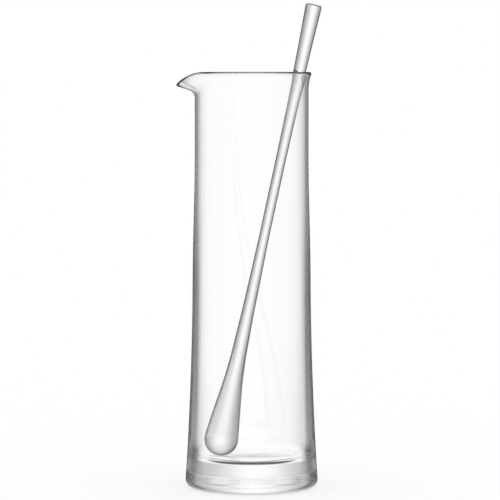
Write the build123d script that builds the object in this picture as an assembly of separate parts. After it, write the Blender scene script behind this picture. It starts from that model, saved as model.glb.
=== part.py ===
"""Cocktail pitcher of clear glass, with the glass stirrer that stands in it and leans on its rim.

Millimetres, +Z up. The origin is on the pitcher's axis, in the plane that it stands on.
The pouring lip points along -X.
"""
import os
from math import acos, atan2, cos, degrees, hypot, pi, radians, sin

from build123d import *

# Pitcher: outside, from the foot up
rim_height = 280.0
foot_radius = 44.7
foot_corner = 5.5
waist_radius = 39.85
waist_height = 140.0
neck_radius = 38.25
neck_length = 65.0

# Pitcher: thickness of the glass
base_thickness = 18.3
bowl_corner = 7.0
waist_wall = 3.25
neck_wall = 2.35

# Rim: the straight neck bends outwards and ends in an edge of a few flats round a half circle
rim_angle = 16.0
rim_bend_radius = 30.0
rim_straight = 2.6
crown_flats = 4

# Lip: the same edge, pulled out and down around the middle of the lip
lip_angle = 72.0
lip_bend_radius = 6.5
lip_straight = 8.2
lip_drop = 7.4
lip_half_width = 40.0
lip_run_out = 8.0
lip_step = 4.0

# Stirrer: a solid rod, lengths measured up from the bottom of its bulb
stirrer_length = 313.5
bulb_radius = 12.0
stem_radius = 5.6
stem_height = 60.0
stem_rounding = 14.0
thin_radius = 3.48
thin_height = 127.0
handle_height = 225.0
grip_radius = 4.05
grip_height = 268.0
top_radius = 5.45
top_rounding = 1.6

# Stirrer at rest: its bulb stands on the floor of the bowl, with room to lift straight out of
# the neck, and its stem leans on the rim
bulb_room = 1.8
lean_heading = -17.0
clearance = 0.3

# Rounds of the searches for the foot's and the stirrer's lean
search_rounds = 6

neck_middle = neck_radius - neck_wall / 2
neck_bore = neck_radius - neck_wall
neck_start = rim_height - neck_length
waist_bore = waist_radius - waist_wall
bulb_offset = min(neck_bore, waist_bore) - bulb_radius - bulb_room
bulb_height = base_thickness + clearance + bulb_radius
top_height = stirrer_length - top_rounding


def blend(plain, pulled, pull):
    return plain + (pulled - plain) * pull


def edge_values(pull):
    """Bend angle, bend radius, straight length and edge height where the rim is pulled by this share."""
    angle = radians(blend(rim_angle, lip_angle, pull))
    bend_radius = 1 / blend(1 / rim_bend_radius, 1 / lip_bend_radius, pull)
    straight = blend(rim_straight, lip_straight, pull)
    edge_height = rim_height - neck_wall / 2 - lip_drop * pull**2
    return angle, bend_radius, straight, edge_height


def bend_height(pull):
    """Height at which the straight neck starts to bend outwards."""
    angle, bend_radius, straight, edge_height = edge_values(pull)
    return edge_height - bend_radius * sin(angle) - straight * cos(angle)


def edge_centre(pull):
    """Centre of the round edge, as radius and height."""
    angle, bend_radius, straight, edge_height = edge_values(pull)
    return neck_middle + bend_radius * (1 - cos(angle)) + straight * sin(angle), edge_height


neck_top = min(bend_height(0), bend_height(1)) - neck_wall


def upright(radius, height):
    """A point of the meridian plane y = 0."""
    return (radius, 0, height)


def edge_section(pull):
    """Meridian section of the glass from neck_top up to the round edge."""
    angle, bend_radius, straight, _ = edge_values(pull)
    bend_start = bend_height(pull)
    bend_centre = neck_middle + bend_radius
    edge_radius, edge_height = edge_centre(pull)

    def side(offset):
        """Bottom, start, middle and end of the bend, off the wall's middle by this much."""
        radius = bend_radius - offset
        turns = (0, angle / 2, angle)
        bend = [(bend_centre - radius * cos(turn), bend_start + radius * sin(turn)) for turn in turns]
        return [upright(neck_middle + offset, neck_top)] + [upright(*point) for point in bend]

    def on_crown(index):
        turn = pi * index / crown_flats - angle
        return upright(edge_radius + neck_wall / 2 * cos(turn), edge_height + neck_wall / 2 * sin(turn))

    outside = side(neck_wall / 2)
    inside = side(-neck_wall / 2)
    crown = [on_crown(index) for index in range(crown_flats + 1)]
    outline = [
        Line(outside[0], outside[1]),
        ThreePointArc(*outside[1:]),
        Line(outside[3], crown[0]),
        *[Line(*flat) for flat in zip(crown, crown[1:])],
        Line(crown[-1], inside[3]),
        ThreePointArc(inside[3], inside[2], inside[1]),
        Line(inside[1], inside[0]),
        Line(inside[0], outside[0]),
    ]
    return Face(Wire(outline))


def lip_pull(heading):
    """Share of the lip's full pull at this angle from its middle: 1 in the middle, 0 at its sides."""
    if abs(heading) >= lip_half_width:
        return 0
    return cos(pi / 2 * heading / lip_half_width) ** 2


def on_foot(turn):
    """A point of the foot's rounded corner, this far round from its widest place."""
    return foot_radius + foot_corner * (cos(turn) - 1), foot_corner * (1 + sin(turn))


def flare_angle():
    """Lean of the side above the foot's corner, so that it runs into the waist without a kink."""
    angle = 0
    for _ in range(search_rounds):
        radius, height = on_foot(angle)
        angle = 2 * atan2(radius - waist_radius, waist_height - height)
    return angle


def make_pitcher():
    flare_start = flare_angle()
    waist = (waist_radius, waist_height)
    profile = [
        Line((0, 0), on_foot(-pi / 2)),
        ThreePointArc(on_foot(-pi / 2), on_foot(-pi / 4), on_foot(flare_start)),
        TangentArc(waist, on_foot(flare_start), tangent=(0, -1)),
        Line(waist, (neck_radius, neck_start)),
        Line((neck_radius, neck_start), (neck_radius, neck_top)),
        Line((neck_radius, neck_top), (neck_bore, neck_top)),
        Line((neck_bore, neck_top), (neck_bore, neck_start)),
        Line((neck_bore, neck_start), (waist_bore, waist_height)),
        Line((waist_bore, waist_height), (waist_bore, base_thickness + bowl_corner)),
        RadiusArc(
            (waist_bore, base_thickness + bowl_corner),
            (waist_bore - bowl_corner, base_thickness),
            bowl_corner,
        ),
        Line((waist_bore - bowl_corner, base_thickness), (0, base_thickness)),
        Line((0, base_thickness), (0, 0)),
    ]
    body = revolve(Plane.XZ * Face(Wire(profile)), Axis.Z)

    reach = lip_half_width + lip_run_out
    count = 2 * round(reach / lip_step)
    headings = [-reach + 2 * reach * index / count for index in range(count + 1)]
    sections = [edge_section(lip_pull(heading)).rotate(Axis.Z, 180 + heading) for heading in headings]
    lip = loft(sections)
    rim = revolve(sections[-1], Axis.Z, 360 - 2 * reach)
    return body.fuse(rim, lip, tol=1e-4)


def toward(start, end, length):
    """The point this far from start on the way to end."""
    share = length / hypot(end[0] - start[0], end[1] - start[1])
    return blend(start[0], end[0], share), blend(start[1], end[1], share)


def make_stirrer():
    """The rod stands upright on the origin. A cone leaves the ball of the bulb and bends into the stem."""
    above = stem_height - bulb_radius
    leave = atan2(above, stem_radius) - acos(bulb_radius / hypot(stem_radius, above))
    bulb_end = (bulb_radius * cos(leave), bulb_radius * (1 + sin(leave)))
    stem = (stem_radius, stem_height)
    stem_end = (thin_radius, thin_height)
    bend_start = toward(stem, bulb_end, stem_rounding)
    bend_end = toward(stem, stem_end, stem_rounding)
    profile = [
        CenterArc((0, bulb_radius), bulb_radius, 270, 90 + degrees(leave)),
        Line(bulb_end, bend_start),
        TangentArc(bend_start, bend_end, tangent=(stem[0] - bend_start[0], stem[1] - bend_start[1])),
        Line(bend_end, stem_end),
        Line(stem_end, (thin_radius, handle_height)),
        Line((thin_radius, handle_height), (grip_radius, grip_height)),
        Line((grip_radius, grip_height), (top_radius, top_height)),
        RadiusArc((top_radius, top_height), (top_radius - top_rounding, stirrer_length), -top_rounding),
        Line((top_radius - top_rounding, stirrer_length), (0, stirrer_length)),
        Line((0, stirrer_length), (0, 0)),
    ]
    return revolve(Plane.XZ * Face(Wire(profile)), Axis.Z)


def handle_radius(height):
    """Radius of the stirrer above its thinnest place, where it widens in two steps."""
    lower = blend(thin_radius, grip_radius, (height - handle_height) / (grip_height - handle_height))
    upper = blend(grip_radius, top_radius, (height - grip_height) / (top_height - grip_height))
    return max(thin_radius, lower, upper)


def lean_past(round_centre, round_radius):
    """Lean at which the stem passes a round of the rim's section with its clearance."""
    across = round_centre[0] + bulb_offset
    above = round_centre[1] - bulb_height
    lean = atan2(across, above)
    for _ in range(search_rounds):
        touching = bulb_radius + across * sin(lean) + above * cos(lean)
        reach = round_radius + handle_radius(touching) + clearance
        lean = acos(reach / hypot(across, above)) - atan2(above, across)
    return lean


def lean_angle():
    """The stem leans on the bend below the rim, or on the round edge if it meets that first."""
    bend_centre = (neck_middle + rim_bend_radius, bend_height(0))
    on_bend = lean_past(bend_centre, rim_bend_radius + neck_wall / 2)
    on_edge = lean_past(edge_centre(0), neck_wall / 2)
    return min(on_bend, on_edge)


def place(stirrer):
    """Bulb beside the pitcher's axis, stem leaning towards lean_heading."""
    lean = degrees(lean_angle())
    print("bulb centre height", round(bulb_height, 2), "offset", round(bulb_offset, 2), "lean", round(lean, 2))
    leaning = stirrer.translate((0, 0, -bulb_radius)).rotate(Axis.Y, lean)
    return leaning.translate((-bulb_offset, 0, bulb_height)).rotate(Axis.Z, lean_heading)


nodes = {"pitcher": make_pitcher(), "stirrer": place(make_stirrer())}

os.makedirs("parts", exist_ok=True)
for name, node in nodes.items():
    node.label = name
    export_step(node, f"parts/{name}.step")
    print(name, "solids", len(node.solids()), "volume", round(node.volume), "box", node.bounding_box())
print("stirrer to pitcher", round(nodes["stirrer"].distance_to(nodes["pitcher"]), 3))
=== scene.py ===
# %% [markdown]
# # A glass cocktail pitcher and its stirrer
# Two pieces of clear glass: a tall pitcher with a thick base and a pulled pouring lip, and a solid
# stirrer that stands in it and leans on its rim. Glass has no colour of its own to paint. What shows is
# how its surfaces bend the room into view, so two things matter here: smooth meshes with a real wall
# thickness, and a studio with bright and dark sides for the glass to bend. A painted shade in the glass's
# colour greys its edges as well. The pieces' sizes are in metres.

# %% Load the imported model as the fixed frame
from math import acos, atan2, cos, hypot, pi, radians, sin, tan

import bmesh
import bpy
from mathutils import Matrix, Vector


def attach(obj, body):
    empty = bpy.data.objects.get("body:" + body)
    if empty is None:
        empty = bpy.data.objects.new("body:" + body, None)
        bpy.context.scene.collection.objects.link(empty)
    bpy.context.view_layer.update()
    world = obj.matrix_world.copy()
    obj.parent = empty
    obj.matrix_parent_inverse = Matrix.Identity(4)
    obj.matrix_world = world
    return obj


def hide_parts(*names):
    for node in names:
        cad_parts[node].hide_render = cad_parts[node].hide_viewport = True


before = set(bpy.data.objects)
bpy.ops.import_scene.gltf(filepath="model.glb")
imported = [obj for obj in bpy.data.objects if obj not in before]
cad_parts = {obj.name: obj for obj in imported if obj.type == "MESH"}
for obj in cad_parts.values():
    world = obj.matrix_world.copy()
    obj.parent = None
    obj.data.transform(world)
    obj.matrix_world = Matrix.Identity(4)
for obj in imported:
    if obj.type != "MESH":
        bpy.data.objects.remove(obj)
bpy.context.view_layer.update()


# %% [markdown]
# ## Camera
# The photograph was taken with a long lens from just above the rim, so the rim is nearly a line and the
# foot is a shallow ellipse. The lens, distance and tilt can be guessed by eye and nudged, but a fit is
# quicker: the foot's ellipse gives the height of the camera, and the outline gives the rest.

# %% Camera at the photograph's viewing angle
lens = 208.7
sensor_width = 36
camera_aside = -0.0011
camera_distance = 1.95
camera_height = 0.285
camera_tilt = 3.66

scene = bpy.context.scene
camera_data = bpy.data.cameras.new("camera")
camera_data.lens = lens
camera_data.sensor_width = sensor_width
camera = bpy.data.objects.new("camera", camera_data)
camera.location = (camera_aside, -camera_distance, camera_height)
camera.rotation_euler = (radians(90 - camera_tilt), 0, 0)
scene.collection.objects.link(camera)
scene.camera = camera
scene.view_settings.view_transform = "Standard"
print("camera", camera_distance, "m in front, lens", lens, "mm, tilted", camera_tilt, "degrees down")

# %% [markdown]
# ## From a few corners to a round piece
# Both pieces are round, so half an outline in the plane y = 0 is all that each one needs, and a full spin
# makes it a solid. A screw modifier would do the same, but the operator leaves a plain mesh that can be
# pulled and turned afterwards. The outline starts as a few corners, as on a draughtsman's sheet, and a
# bevel rounds each corner by its own length, which joins the runs without a kink.

# %% Outline from corners
same_point = 1e-7


def round_outline(corners):
    """A wire in the plane y = 0 from (radius, height, rounding, segments) corners."""
    mesh = bmesh.new()
    verts = [mesh.verts.new((radius, 0, height)) for radius, height, _, _ in corners]
    for pair in zip(verts, verts[1:]):
        mesh.edges.new(pair)
    for vert, (_, _, rounding, segments) in zip(verts, corners):
        if rounding:
            bmesh.ops.bevel(mesh, geom=[vert], offset=rounding, offset_type="OFFSET", affect="VERTICES",
                            segments=segments, profile=0.5, material=-1)
    bmesh.ops.remove_doubles(mesh, verts=mesh.verts, dist=same_point)
    print("outline of", len(corners), "corners rounded to", len(mesh.verts), "points")
    return mesh


# %% [markdown]
# Long runs are divided before the spin. A glass face that is long and thin mixes the normals of its far
# ends, and the bend of the light then shows as a smear.

# %% Outline to solid
same_seam = 1e-6


def divide_runs(mesh, longest):
    """Divides each edge that is longer than this."""
    for edge in mesh.edges[:]:
        cuts = int(edge.calc_length() / longest)
        if cuts:
            bmesh.ops.subdivide_edges(mesh, edges=[edge], cuts=cuts)


def spin_solid(mesh, name, steps):
    """Spins the wire once round Z and closes it on the axis."""
    bmesh.ops.spin(mesh, geom=mesh.verts[:] + mesh.edges[:], cent=(0, 0, 0), axis=(0, 0, 1),
                   dvec=(0, 0, 0), angle=2 * pi, steps=steps, use_merge=True, use_duplicate=False)
    bmesh.ops.remove_doubles(mesh, verts=mesh.verts, dist=same_seam)
    bmesh.ops.recalc_face_normals(mesh, faces=mesh.faces)
    for face in mesh.faces:
        face.smooth = True
    print(name, "spun to", len(mesh.faces), "faces,", round(mesh.calc_volume() * 1e6, 1), "ml of glass")


# %% [markdown]
# ## The pitcher's outline
# A pitcher like this is blown into a mould, which gives the thick base, the foot's round corner and the
# long flare up to the waist. Most sizes are those of the CAD model. The foot's corner and the flare are
# given there as arcs, and here as roundings of the corner where the two straight runs would meet, so the
# lengths of the roundings follow from the flare's angle. The two slight bends between the waist and the
# neck are sharp there, and rounded here.

# %% Sizes of the body
rim_height = 0.280
foot_radius = 0.0447
foot_corner = 0.0055
waist_radius = 0.03985
waist_height = 0.140
shoulder_height = 0.150
collar_height = 0.213
shoulder_rounding = 0.010
neck_radius = 0.03825
neck_wall = 0.00235
base_thickness = 0.0183
bore_radius = 0.0366
bore_rounding = 0.0070

neck_middle = neck_radius - neck_wall / 2
neck_bore = neck_radius - neck_wall
flare_angle = 2 * atan2(foot_radius - waist_radius, waist_height - foot_corner)
foot_rounding = foot_corner * tan(pi / 4 + flare_angle / 2)
foot_edge = foot_radius - foot_corner + foot_rounding
flare_height = (foot_edge - waist_radius) / tan(flare_angle)
flare_rounding = flare_height / cos(flare_angle) - foot_rounding
print("flare of", round(1000 * flare_rounding, 1), "mm from the foot to the waist")

# %% [markdown]
# ## Rim and lip
# The rim bends outwards a little and ends in a round edge, melted smooth in a flame. Where the pitcher
# pours, the same edge was pulled out and down with a tool while the glass was soft. One set of four
# values describes the edge anywhere: it runs from the plain rim's to the lip's by a share called pull.

# %% Sizes of the rim and the lip
rim_angle = radians(16)
rim_bend_radius = 0.030
rim_straight = 0.0026
lip_angle = radians(72)
lip_bend_radius = 0.0065
lip_straight = 0.0082
lip_drop = 0.0074
lip_half_width = radians(40)


def blend(plain, pulled, pull):
    return plain + (pulled - plain) * pull


def edge_values(pull):
    """Bend angle, bend radius, straight length and bend height where the rim has this pull."""
    angle = blend(rim_angle, lip_angle, pull)
    bend_radius = 1 / blend(1 / rim_bend_radius, 1 / lip_bend_radius, pull)
    length = blend(rim_straight, lip_straight, pull)
    edge_height = rim_height - neck_wall / 2 - lip_drop * pull**2
    return angle, bend_radius, length, edge_height - bend_radius * sin(angle) - length * cos(angle)


neck_top = min(edge_values(0)[3], edge_values(1)[3]) - neck_wall
print("straight neck ends", round(1000 * neck_top, 1), "mm up")

# %% Corners of the plain rim
plain_angle, plain_bend, plain_straight, plain_height = edge_values(0)
outer_turn = (plain_bend - neck_wall / 2) * tan(plain_angle / 2)
inner_turn = (plain_bend + neck_wall / 2) * tan(plain_angle / 2)
bend_end_radius = neck_middle + plain_bend * (1 - cos(plain_angle))
bend_end = Vector((bend_end_radius, plain_height + plain_bend * sin(plain_angle)))
rim_top = bend_end + Vector((sin(plain_angle), cos(plain_angle))) * (plain_straight + neck_wall / 2)
rim_across = Vector((cos(plain_angle), -sin(plain_angle))) * neck_wall / 2
rim_outside = rim_top + rim_across
rim_inside = rim_top - rim_across
print("rim is", round(1000 * rim_outside.x, 1), "mm from the axis outside")

# %% [markdown]
# The corners go once along the glass, from the middle of the underside up the outside, over the rim and
# down to the middle of the bowl's floor. Each rounding gets the segments that it needs to look smooth.

# %% Pitcher, as a plain ring
foot_segments = 14
flare_segments = 16
shoulder_segments = 6
bend_segments = 8
melted_segments = 6
bowl_segments = 16
pitcher_longest_run = 0.006
pitcher_steps = 240

pitcher_corners = [
    (0, 0, 0, 0),
    (foot_edge, 0, foot_rounding, foot_segments),
    (waist_radius, flare_height, flare_rounding, flare_segments),
    (waist_radius, shoulder_height, shoulder_rounding, shoulder_segments),
    (neck_radius, collar_height, shoulder_rounding, shoulder_segments),
    (neck_radius, neck_top, 0, 0),
    (neck_radius, plain_height + outer_turn, outer_turn, bend_segments),
    (rim_outside.x, rim_outside.y, neck_wall / 2, melted_segments),
    (rim_inside.x, rim_inside.y, neck_wall / 2, melted_segments),
    (neck_bore, plain_height + inner_turn, inner_turn, bend_segments),
    (neck_bore, neck_top, 0, 0),
    (neck_bore, collar_height, shoulder_rounding, shoulder_segments),
    (bore_radius, shoulder_height, shoulder_rounding, shoulder_segments),
    (bore_radius, base_thickness, bore_rounding, bowl_segments),
    (0, base_thickness, 0, 0),
]
pitcher_mesh = round_outline(pitcher_corners)
divide_runs(pitcher_mesh, pitcher_longest_run)
spin_solid(pitcher_mesh, "pitcher", pitcher_steps)

# %% [markdown]
# While the rim is still a plain ring, its points are marked by their height. The glass reads that mark
# later and paints a shade there, darker all the way round and along the lip too, for the light that a
# melted edge bends far more than a flat wall.

# %% Mark the melted edge
melted_start = rim_height - 0.7 * neck_wall
melted_end = rim_height - 0.4 * neck_wall


def mark_heights(mesh, name, start, end):
    """Marks the points by height: 0 up to the start, 1 from the end on."""
    mark = mesh.verts.layers.float.new(name)
    for vert in mesh.verts:
        vert[mark] = min(max((vert.co.z - start) / (end - start), 0), 1)
    print(name, "marked on", sum(vert[mark] > 0 for vert in mesh.verts), "points")


mark_heights(pitcher_mesh, "melted_edge", melted_start, melted_end)

# %% [markdown]
# Now the lip. A lattice could pull it, but the wall would not keep its thickness. Instead each point
# above the straight neck keeps its place on the outline, as a share of the neck, a turn of the bend or a
# length past it, and that outline is redrawn with the pull at the point's own heading.

# %% Pull the lip
def on_edge(radius, height, pull):
    """Where a point of the plain rim's outline goes when the rim is pulled."""
    angle, bend, length, bend_height = edge_values(pull)
    reach = hypot(height - plain_height, neck_middle + plain_bend - radius)
    turn = atan2(height - plain_height, neck_middle + plain_bend - radius)
    if height <= plain_height:
        share = (height - neck_top) / (plain_height - neck_top)
        return radius, blend(neck_top, bend_height, share)
    if turn <= plain_angle:
        reach += bend - plain_bend
        turn *= angle / plain_angle
        return neck_middle + bend - reach * cos(turn), bend_height + reach * sin(turn)
    off = Vector((radius, height)) - bend_end
    along = off.x * sin(plain_angle) + off.y * cos(plain_angle)
    aside = off.x * cos(plain_angle) - off.y * sin(plain_angle)
    along = along * length / plain_straight if along < plain_straight else along - plain_straight + length
    radius = neck_middle + bend * (1 - cos(angle)) + along * sin(angle) + aside * cos(angle)
    return radius, bend_height + bend * sin(angle) + along * cos(angle) - aside * sin(angle)


for vert in pitcher_mesh.verts:
    heading = atan2(vert.co.y, -vert.co.x)
    if vert.co.z > neck_top and abs(heading) < lip_half_width:
        pull = cos(pi / 2 * heading / lip_half_width) ** 2
        radius, height = on_edge(hypot(vert.co.x, vert.co.y), vert.co.z, pull)
        vert.co = (-radius * cos(heading), radius * sin(heading), height)
bmesh.ops.recalc_face_normals(pitcher_mesh, faces=pitcher_mesh.faces)
print("lip reaches", round(-1000 * min(vert.co.x for vert in pitcher_mesh.verts), 1), "mm from the axis")

# %% [markdown]
# ## The stirrer
# A solid rod, drawn out thin in the flame, with a drop of glass gathered at its lower end and a flat top.
# It is made upright in the same way as the pitcher. The bulb is a ball that a cone leaves, so it is one
# large rounding between the flat of the floor and that cone.

# %% Sizes of the stirrer, up from the bottom of its bulb
stirrer_length = 0.3135
bulb_radius = 0.0120
stem_radius = 0.0056
stem_height = 0.060
stem_rounding = 0.014
thin_radius = 0.00348
thin_height = 0.127
thin_rounding = 0.025
handle_height = 0.225
grip_radius = 0.00405
grip_height = 0.268
handle_rounding = 0.020
top_radius = 0.00550
top_rounding = 0.0016

above_bulb = stem_height - bulb_radius
cone_lean = atan2(above_bulb, stem_radius) - acos(bulb_radius / hypot(stem_radius, above_bulb))
bulb_rounding = bulb_radius * tan(pi / 4 + cone_lean / 2)
print("bulb rounded by", round(1000 * bulb_rounding, 1), "mm")

# %% [markdown]
# Its points are marked by height as well, because the thin rod takes other painted greys than the bulb
# and the handle.

# %% Stirrer, upright
bulb_segments = 32
stem_segments = 8
rod_segments = 6
top_segments = 8
stirrer_longest_run = 0.004
stirrer_steps = 96

stirrer_corners = [
    (0, 0, 0, 0),
    (bulb_rounding, 0, bulb_rounding, bulb_segments),
    (stem_radius, stem_height, stem_rounding, stem_segments),
    (thin_radius, thin_height, thin_rounding, rod_segments),
    (thin_radius, handle_height, handle_rounding, rod_segments),
    (grip_radius, grip_height, handle_rounding, rod_segments),
    (top_radius, stirrer_length, top_rounding, top_segments),
    (0, stirrer_length, 0, 0),
]
stirrer_mesh = round_outline(stirrer_corners)
divide_runs(stirrer_mesh, stirrer_longest_run)
spin_solid(stirrer_mesh, "stirrer", stirrer_steps)
mark_heights(stirrer_mesh, "thin_rod", 2 * bulb_radius, stem_height)
mark_heights(stirrer_mesh, "handle", handle_height, grip_height)

# %% [markdown]
# Then it is leaned into its place: the bulb stands beside the axis on the floor of the bowl, and the stem
# leans on the rim. The place goes into the mesh, and the object itself stays at the origin.

# %% Lean it on the rim
bulb_offset = 0.0221
bulb_height = 0.0306
lean = radians(12.55)
lean_heading = radians(-17)
upright = Matrix.Translation((0, 0, -bulb_radius))
leaning = Matrix.Translation((-bulb_offset, 0, bulb_height)) @ Matrix.Rotation(lean, 4, "Y")
bmesh.ops.transform(stirrer_mesh, matrix=Matrix.Rotation(lean_heading, 4, "Z") @ leaning @ upright,
                    verts=stirrer_mesh.verts)
print("top of the stirrer", round(1000 * max(vert.co.z for vert in stirrer_mesh.verts), 1), "mm up")

# %% [markdown]
# ## Nodes in a few words
# The glass, the floor and the studio are all node trees. Adding a node, setting its numbers and linking
# its inputs takes many lines, so one helper does all three, and a few more name what is used often.

# %% Helpers for nodes
def add(tree, kind, inputs, **options):
    """A new node. An input is a number, a vector or the output of another node."""
    node = tree.nodes.new("ShaderNode" + kind)
    for option, value in options.items():
        setattr(node, option, value)
    for socket, value in inputs.items():
        if isinstance(value, bpy.types.NodeSocket):
            tree.links.new(value, node.inputs[socket])
        else:
            node.inputs[socket].default_value = value
    return node


def calculate(tree, operation, first, second):
    return add(tree, "Math", {0: first, 1: second}, operation=operation).outputs["Value"]


def multiply(tree, first, second):
    return calculate(tree, "MULTIPLY", first, second)


def fade(tree, value, start, end):
    """0 up to the start, 1 from the end on, and a smooth change between them."""
    inputs = {"Value": value, "From Min": start, "From Max": end}
    return add(tree, "MapRange", inputs, interpolation_type="SMOOTHSTEP").outputs["Result"]


def band(tree, value, lower, upper):
    """1 between two fades, which are each given as a start and an end."""
    return multiply(tree, fade(tree, value, *lower), fade(tree, value, *upper))


def from_axis(tree, vector):
    """Distance from the upright axis."""
    flat = add(tree, "VectorMath", {0: vector, 1: (1, 1, 0)}, operation="MULTIPLY")
    return add(tree, "VectorMath", {0: flat.outputs["Vector"]}, operation="LENGTH").outputs["Value"]


# %% Helpers for colours and shaders
WHITE = (1, 1, 1, 1)


def mix_colours(tree, share, first, second):
    inputs = {"Factor": share, "A": first, "B": second}
    return add(tree, "Mix", inputs, data_type="RGBA").outputs["Result"]


def mix_shaders(tree, share, first, second):
    return add(tree, "MixShader", {"Fac": share, 1: first, 2: second}).outputs["Shader"]


def grey_ramp(tree, value, stops):
    """Grey by a value, from (value, grey) stops."""
    ramp = add(tree, "ValToRGB", {"Fac": value})
    while len(ramp.color_ramp.elements) < len(stops):
        ramp.color_ramp.elements.new(0.5)
    for element, (position, grey) in zip(ramp.color_ramp.elements, stops):
        element.position = position
        element.color = (grey, grey, grey, 1)
    return ramp.outputs["Color"]


print("helpers for nodes ready")

# %% [markdown]
# ## Glass
# Clear glass bends light by its index of 1.5. Its edges get a painted shade: a grey in the glass's colour
# that stands in for the darker sides of the room which a real edge bends into view, and is how the eye
# finds a clear thing at all. A volume would darken every long path, also through the middle of the base.
# The Layer Weight node gives just the edges: a ramp by how far the surface turns away sets how grey the
# painted shade is.
# Hand-made glass is never quite flat either, so a faint, stretched noise bends its normals a little.

# %% Glass that both pieces share
glass_index = 1.5


def start_glass(name):
    material = bpy.data.materials.new(name)
    material.use_nodes = True
    shader = material.node_tree.nodes["Principled BSDF"]
    shader.inputs["Roughness"].default_value = 0.0
    shader.inputs["IOR"].default_value = glass_index
    shader.inputs["Transmission Weight"].default_value = 1.0
    return material, material.node_tree, shader


def turned_away(tree):
    """0 where the surface faces the viewer, and 1 where it is seen edge on."""
    return add(tree, "LayerWeight", {"Blend": 0.5}).outputs["Facing"]


def ripple(tree, shader, place, waves, depth):
    """Faint waves in the surface, so many to the metre along each axis."""
    drawn = add(tree, "Mapping", {"Vector": place, "Scale": waves})
    noise = add(tree, "TexNoise", {"Vector": drawn.outputs["Vector"], "Scale": 1.0, "Detail": 1.0})
    bump = add(tree, "Bump", {"Height": noise.outputs["Fac"], "Strength": 1.0, "Distance": depth})
    tree.links.new(bump.outputs["Normal"], shader.inputs["Normal"])
    print("waves up to", round(depth * 1e6), "micrometres deep")


print("glass with an index of", glass_index)

# %% [markdown]
# ### The pitcher's glass
# Each stretch of the outline has its own painted greys, by how far it turns away: a painted shade that
# stands in for the darker sides of the room which the glass bends into view. The wall is thin, and only
# its outermost strip is grey, at the neck less than at the waist. The solid base gathers the whole side
# of the room, so its grey starts sooner, sooner still in its lower half, and clears just above the table.
# It is deepest beside the round corner of the bowl. The melted edge is grey all over. A stretch starts and
# ends in a fade over the height.

# %% Greys and heights of the pitcher's stretches
base_greys = [(0.3, 1), (0.36, 0.7), (0.42, 0.52), (0.47, 0.28), (0.53, 0.1), (0.62, 0.12), (0.76, 0.22)]
lower_greys = [(0.02, 1), (0.1, 0.85), (0.16, 0.7), (0.28, 0.48), (0.37, 0.38), (0.45, 0.25), (0.53, 0.1),
               (0.62, 0.12), (0.76, 0.22)]
corner_greys = [(0.34, 1), (0.4, 0.5), (0.46, 0.12), (0.52, 0.04), (0.6, 0.05), (0.7, 0.15), (0.8, 0.2)]
wall_greys = [(0.44, 1), (0.5, 0.66), (0.54, 0.46), (0.58, 0.25), (0.66, 0.25), (0.74, 0.06)]
neck_greys = [(0.52, 1), (0.58, 0.85), (0.64, 0.66), (0.68, 0.38), (0.75, 0.25), (0.85, 0.1)]
melted_greys = [(0, 0.6), (0.25, 0.22), (0.45, 0.02), (0.6, 0)]

clear_foot = (0.0035, 0.0005)
clear_share = 0.7
lower_start = (0.0040, 0.0058)
lower_end = (0.0114, 0.0104)
corner_start = (0.0165, 0.0235)
corner_end = (0.0310, 0.0255)
wall_start = (0.026, 0.036)
neck_start = (waist_height, collar_height)
print("wall starts", round(1000 * wall_start[0]), "to", round(1000 * wall_start[1]), "mm up")

# %% [markdown]
# The ramps are then laid over each other from the foot up. Only light that enters from the outside is
# greyed, or every edge would be drawn twice.

# %% Pitcher glass
pitcher_waves = (45, 45, 6)
pitcher_wave_depth = 0.000004

pitcher_glass, tree, shader = start_glass("clear pitcher glass")
place = add(tree, "TexCoord", {}).outputs["Object"]
height = add(tree, "SeparateXYZ", {"Vector": place}).outputs["Z"]
facing = turned_away(tree)
melted = add(tree, "Attribute", {}, attribute_name="melted_edge").outputs["Fac"]
stretches = [
    (band(tree, height, lower_start, lower_end), lower_greys),
    (fade(tree, height, *wall_start), wall_greys),
    (band(tree, height, corner_start, corner_end), corner_greys),
    (fade(tree, height, *neck_start), neck_greys),
    (melted, melted_greys),
]
# The edge greys are painted shade in the glass's colour, for the darker room that real edges bend into
# view.
edge = grey_ramp(tree, facing, base_greys)
for share, greys in stretches:
    edge = mix_colours(tree, share, edge, grey_ramp(tree, facing, greys))
clear = multiply(tree, fade(tree, height, *clear_foot), clear_share)
edge = mix_colours(tree, clear, edge, WHITE)

wall_middle = (bore_radius + neck_radius) / 2
away = from_axis(tree, place)
outside = calculate(tree, "GREATER_THAN", away, wall_middle)
leaving = add(tree, "NewGeometry", {}).outputs["Backfacing"]
entering = calculate(tree, "SUBTRACT", outside, leaving)
tree.links.new(mix_colours(tree, entering, WHITE, edge), shader.inputs["Base Color"])
ripple(tree, shader, place, pitcher_waves, pitcher_wave_depth)

# %% [markdown]
# The foot has a last detail: it stands on a ring that years of tables have ground a little matt. A fine
# noise makes the ring's roughness uneven, as scratches do.

# %% Ring that the foot stands on
ring_top = (0.0038, 0.0022)
ring_inside = (0.0345, 0.0375)
least_rough = 0.1
most_rough = 0.15
scratch_scale = 900.0

scratches = add(tree, "TexNoise", {"Vector": place, "Scale": scratch_scale, "Detail": 3.0}).outputs["Fac"]
inputs = {"Value": scratches, "To Min": least_rough, "To Max": most_rough}
scratched = add(tree, "MapRange", inputs).outputs["Result"]
ring = multiply(tree, fade(tree, height, *ring_top), fade(tree, away, *ring_inside))
tree.links.new(multiply(tree, ring, scratched), shader.inputs["Roughness"])
print("pitcher glass of", len(tree.nodes), "nodes")

# %% [markdown]
# ### The stirrer's glass
# A solid rod is a lens: it shows the whole room turned round, squeezed into its width. Its painted shade,
# a grey in the glass's colour for the room's darker sides, starts at the middle and deepens to the
# outline, sooner on the thin rod than on the bulb and the handle.

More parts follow.
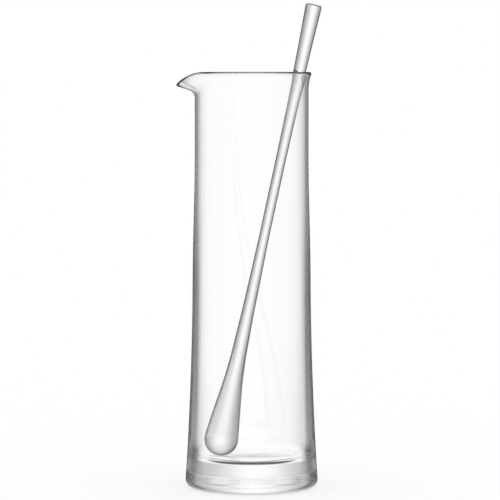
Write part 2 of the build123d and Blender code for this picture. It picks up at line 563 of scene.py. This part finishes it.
# %% Stirrer glass
bulb_greys = [(0, 1), (0.07, 0.88), (0.28, 0.62), (0.5, 0.25), (0.6, 0.06), (0.66, 0)]
rod_greys = [(0, 1), (0.07, 0.82), (0.28, 0.48), (0.4, 0.14), (0.48, 0)]
stirrer_waves = (60, 60, 25)
stirrer_wave_depth = 0.000003

stirrer_glass, tree, shader = start_glass("clear stirrer glass")
place = add(tree, "TexCoord", {}).outputs["Object"]
facing = turned_away(tree)
thin = add(tree, "Attribute", {}, attribute_name="thin_rod").outputs["Fac"]
handle = add(tree, "Attribute", {}, attribute_name="handle").outputs["Fac"]
# Painted shade: these greys go into the stirrer glass's colour, for the darker room that the rod bends
# into view.
bulb_edge = grey_ramp(tree, facing, bulb_greys)
edge = mix_colours(tree, thin, bulb_edge, grey_ramp(tree, facing, rod_greys))
edge = mix_colours(tree, handle, edge, bulb_edge)
tree.links.new(edge, shader.inputs["Base Color"])
ripple(tree, shader, place, stirrer_waves, stirrer_wave_depth)
print("stirrer glass of", len(tree.nodes), "nodes")

# %% [markdown]
# ## Finished pieces
# Each mesh becomes an object that rides on its CAD body and takes the place of the CAD node's part, which
# is hidden. Smooth shading was set face by face at the spin.

# %% Pitcher and stirrer
def mesh_object(mesh, name, material):
    data = bpy.data.meshes.new(name)
    mesh.to_mesh(data)
    mesh.free()
    data.materials.append(material)
    made = bpy.data.objects.new(name, data)
    scene.collection.objects.link(made)
    print(name, "is made of", material.name, "with", len(data.polygons), "faces")
    return made


def finish_piece(mesh, name, node, material):
    piece = mesh_object(mesh, name, material)
    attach(piece, node)
    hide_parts(node)


finish_piece(pitcher_mesh, "glass_pitcher", "pitcher", pitcher_glass)
finish_piece(stirrer_mesh, "glass_stirrer", "stirrer", stirrer_glass)

# %% [markdown]
# ## Floor
# White paper. The camera sees it lit evenly, with the soft shadow that the glass leaves on it. On plain
# diffuse paper that shadow would be stronger than in a bright studio, so most of what the camera sees is
# an even white light, and the rest keeps the shadow.

# %% White paper
floor_radius = 6
floor_drop = 0.0003
floor_segments = 64
even_share = 0.7

floor_mesh = bmesh.new()
bmesh.ops.create_circle(floor_mesh, cap_ends=True, segments=floor_segments, radius=floor_radius)
bmesh.ops.translate(floor_mesh, vec=(0, 0, -floor_drop), verts=floor_mesh.verts)
floor_paper = bpy.data.materials.new("white paper")
floor_paper.use_nodes = True
floor = mesh_object(floor_mesh, "floor", floor_paper)

tree = floor_paper.node_tree
tree.nodes.clear()
paper = add(tree, "BsdfDiffuse", {"Color": WHITE}).outputs["BSDF"]
even = add(tree, "Emission", {"Color": WHITE}).outputs["Emission"]
seen = add(tree, "LightPath", {}).outputs["Is Camera Ray"]
seen_paper = mix_shaders(tree, multiply(tree, seen, even_share), paper, even)

# %% [markdown]
# Light that the glass bends or mirrors into view is treated apart, by the Light Path node. Beside the foot
# it goes on to the studio, so the walls show a clean background. Under the foot it meets paper in the
# shade of the base. The shade is an arc at the front, which the bowl's floor shows as a dark crescent, and
# a softer patch at the back, which draws the fainter line above it. Between them the base gathers light
# like a lens.

# %% Shade on the paper under the foot
foot_reach = (0.0440, 0.0440)
foot_inner = 0.87
middle_end = (0.012, 0.026)
front_start = (-0.008, -0.018)
front_shade = 0.93
back_centre = (-0.002, 0.019)
back_reach = (0.050, 0.024)
back_shade = 0.9


def ellipse(tree, place, centre, reach, inner):
    """1 out to the inner share of an ellipse on the floor, and 0 from its edge on."""
    inputs = {"Vector": place, "Location": (*centre, 0), "Scale": (*reach, 1)}
    scaled = add(tree, "Mapping", inputs, vector_type="TEXTURE").outputs["Vector"]
    return fade(tree, from_axis(tree, scaled), 1, inner)


def light_left(tree, shaded, depth):
    """Light that a shade of this depth leaves."""
    return calculate(tree, "SUBTRACT", 1, multiply(tree, shaded, depth))


place = add(tree, "TexCoord", {}).outputs["Object"]
depth = add(tree, "SeparateXYZ", {"Vector": place}).outputs["Y"]
off_middle = fade(tree, from_axis(tree, place), *middle_end)
front = multiply(tree, off_middle, fade(tree, depth, *front_start))
back = ellipse(tree, place, back_centre, back_reach, 0)
paper_light = multiply(tree, light_left(tree, front, front_shade), light_left(tree, back, back_shade))
shade = add(tree, "Emission", {"Color": WHITE, "Strength": paper_light}).outputs["Emission"]
beyond = add(tree, "BsdfTransparent", {}).outputs["BSDF"]
under_foot = ellipse(tree, place, (0, 0), foot_reach, foot_inner)
bent_view = mix_shaders(tree, under_foot, beyond, shade)
print("shade", front_shade, "deep at the front,", back_shade, "at the back")


# %% Paper as the camera and the glass see it
def bent_light(tree):
    """1 for light that the glass has bent or mirrored into view, and 0 for all other light."""
    path = add(tree, "LightPath", {})
    bent = calculate(tree, "MAXIMUM", path.outputs["Is Glossy Ray"], path.outputs["Is Transmission Ray"])
    never_scattered = calculate(tree, "LESS_THAN", path.outputs["Diffuse Depth"], 0.5)
    return multiply(tree, bent, never_scattered)


floor_look = mix_shaders(tree, bent_light(tree), seen_paper, bent_view)
add(tree, "OutputMaterial", {"Surface": floor_look})
print("floor material of", len(tree.nodes), "nodes")

# %% [markdown]
# ## Studio
# To photograph clear glass on white, a studio puts a bright sheet behind it and lets the room fall darker
# to both sides, so that the edges, which bend the sides into view, come out grey. Panels could be
# modelled and lit, but the world is simpler: its light depends on the direction round the pitcher. The
# right side falls off a little sooner than the left. All other light is plain white.

# %% Light by direction
left_side = [(0, 1.0), (9, 0.97), (14, 0.9), (20, 0.77), (27, 0.63), (36, 0.53), (45, 0.5), (54, 0.66),
             (64, 0.8), (80, 0.88), (180, 1.0)]
right_side = [(5, 0.96), (9, 0.89), (14, 0.79), (20, 0.67), (27, 0.57), (36, 0.5), (45, 0.48), (54, 0.66),
              (64, 0.8), (80, 0.88), (180, 1.0)]


def all_round(left, right):
    """Stops for a whole turn from degrees left and right of straight behind the pitcher."""
    turn = [(-angle, light) for angle, light in reversed(left)] + right
    return [((angle + 180) / 360, light) for angle, light in turn]


studio = bpy.data.worlds.new("studio")
scene.world = studio
studio.use_nodes = True
tree = studio.node_tree
direction = add(tree, "TexCoord", {}).outputs["Generated"]
split = add(tree, "SeparateXYZ", {"Vector": direction})
angle = calculate(tree, "ARCTAN2", split.outputs["X"], split.outputs["Y"])
turn = add(tree, "MapRange", {"Value": angle, "From Min": -pi, "From Max": pi}).outputs["Result"]
light = grey_ramp(tree, turn, all_round(left_side, right_side))
print("studio light in", len(left_side) + len(right_side), "stops")

# %% [markdown]
# Three directions are set apart. What the outside of the glass mirrors stays dark at low angles, so that
# no bright line runs along an edge. From above the studio's ceiling is white. And where the glass is seen
# from higher up, the paper behind it is white too.

# %% Mirror, ceiling and paper
mirrored_side = [(45, 0.08), (65, 0.5), (80, 0.85), (180, 1.0)]
ceiling_start = (0.62, 0.80)
paper_drop = (-0.28, -0.34)
paper_aside = (radians(2), radians(30))

rise = split.outputs["Z"]
aside = calculate(tree, "ABSOLUTE", angle, 0)
paper_behind = multiply(tree, fade(tree, rise, *paper_drop), fade(tree, aside, *paper_aside))
light = mix_colours(tree, paper_behind, light, WHITE)
light = mix_colours(tree, fade(tree, rise, *ceiling_start), light, WHITE)
mirrored = grey_ramp(tree, turn, all_round(mirrored_side, mirrored_side))
reflected = add(tree, "LightPath", {}).outputs["Is Reflection Ray"]
light = mix_colours(tree, reflected, light, mirrored)
light = mix_colours(tree, bent_light(tree), WHITE, light)
background = tree.nodes["Background"]
tree.links.new(light, background.inputs["Color"])
background.inputs["Strength"].default_value = 1.0
print("world of", len(tree.nodes), "nodes")

# %% [markdown]
# ## Long paths of light
# A ray that enters the base at a low angle is turned back inside it many times before it leaves. Where
# Blender stops counting, it draws black, so the limits are raised.

# %% Limits of the bounces
most_bounces = 128
scene.cycles.max_bounces = most_bounces
scene.cycles.glossy_bounces = most_bounces
scene.cycles.transmission_bounces = most_bounces
print("up to", most_bounces, "bounces")
